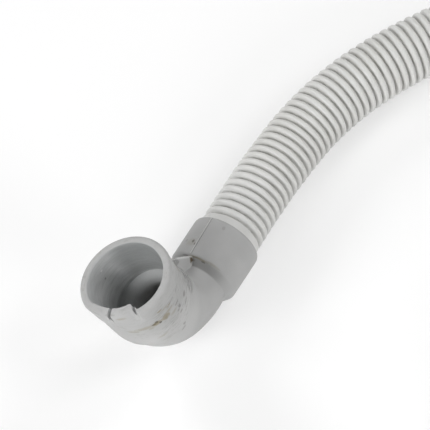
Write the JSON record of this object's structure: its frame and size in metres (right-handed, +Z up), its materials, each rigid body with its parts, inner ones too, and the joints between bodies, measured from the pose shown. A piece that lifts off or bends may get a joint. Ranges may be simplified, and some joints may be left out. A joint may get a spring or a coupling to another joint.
{
  "type": "dishwasher drain hose",
  "caption": "Corrugated drain hose for a dishwasher, with a moulded right-angle rubber elbow at one end and a straight cuff at the other, its spare length coiled.",
  "frame": {"origin": "centre of the bottom of the elbow's box, on the floor that the hose lies on", "axes": "+Z up from the floor, +Y along the elbow's collar towards the hose, +X to the right of that, on the side where the coil lies"},
  "size_m": [0.4102, 0.2988, 0.0571],
  "materials": {
    "elbow": "moulded light grey rubber, dull, used and stained",
    "hose": "warm white polypropylene, satin, ringed with ribs",
    "end_cuff": "moulded grey rubber, dull",
    "tie": "natural nylon, satin"
  },
  "bodies": {
    "root": {"elbow_connector": "elbow", "hose_run": "hose", "hose_coil": "hose", "hose_tail": "hose", "end_cuff": "end_cuff", "coil_tie": "tie"}
  },
  "joints": []
}
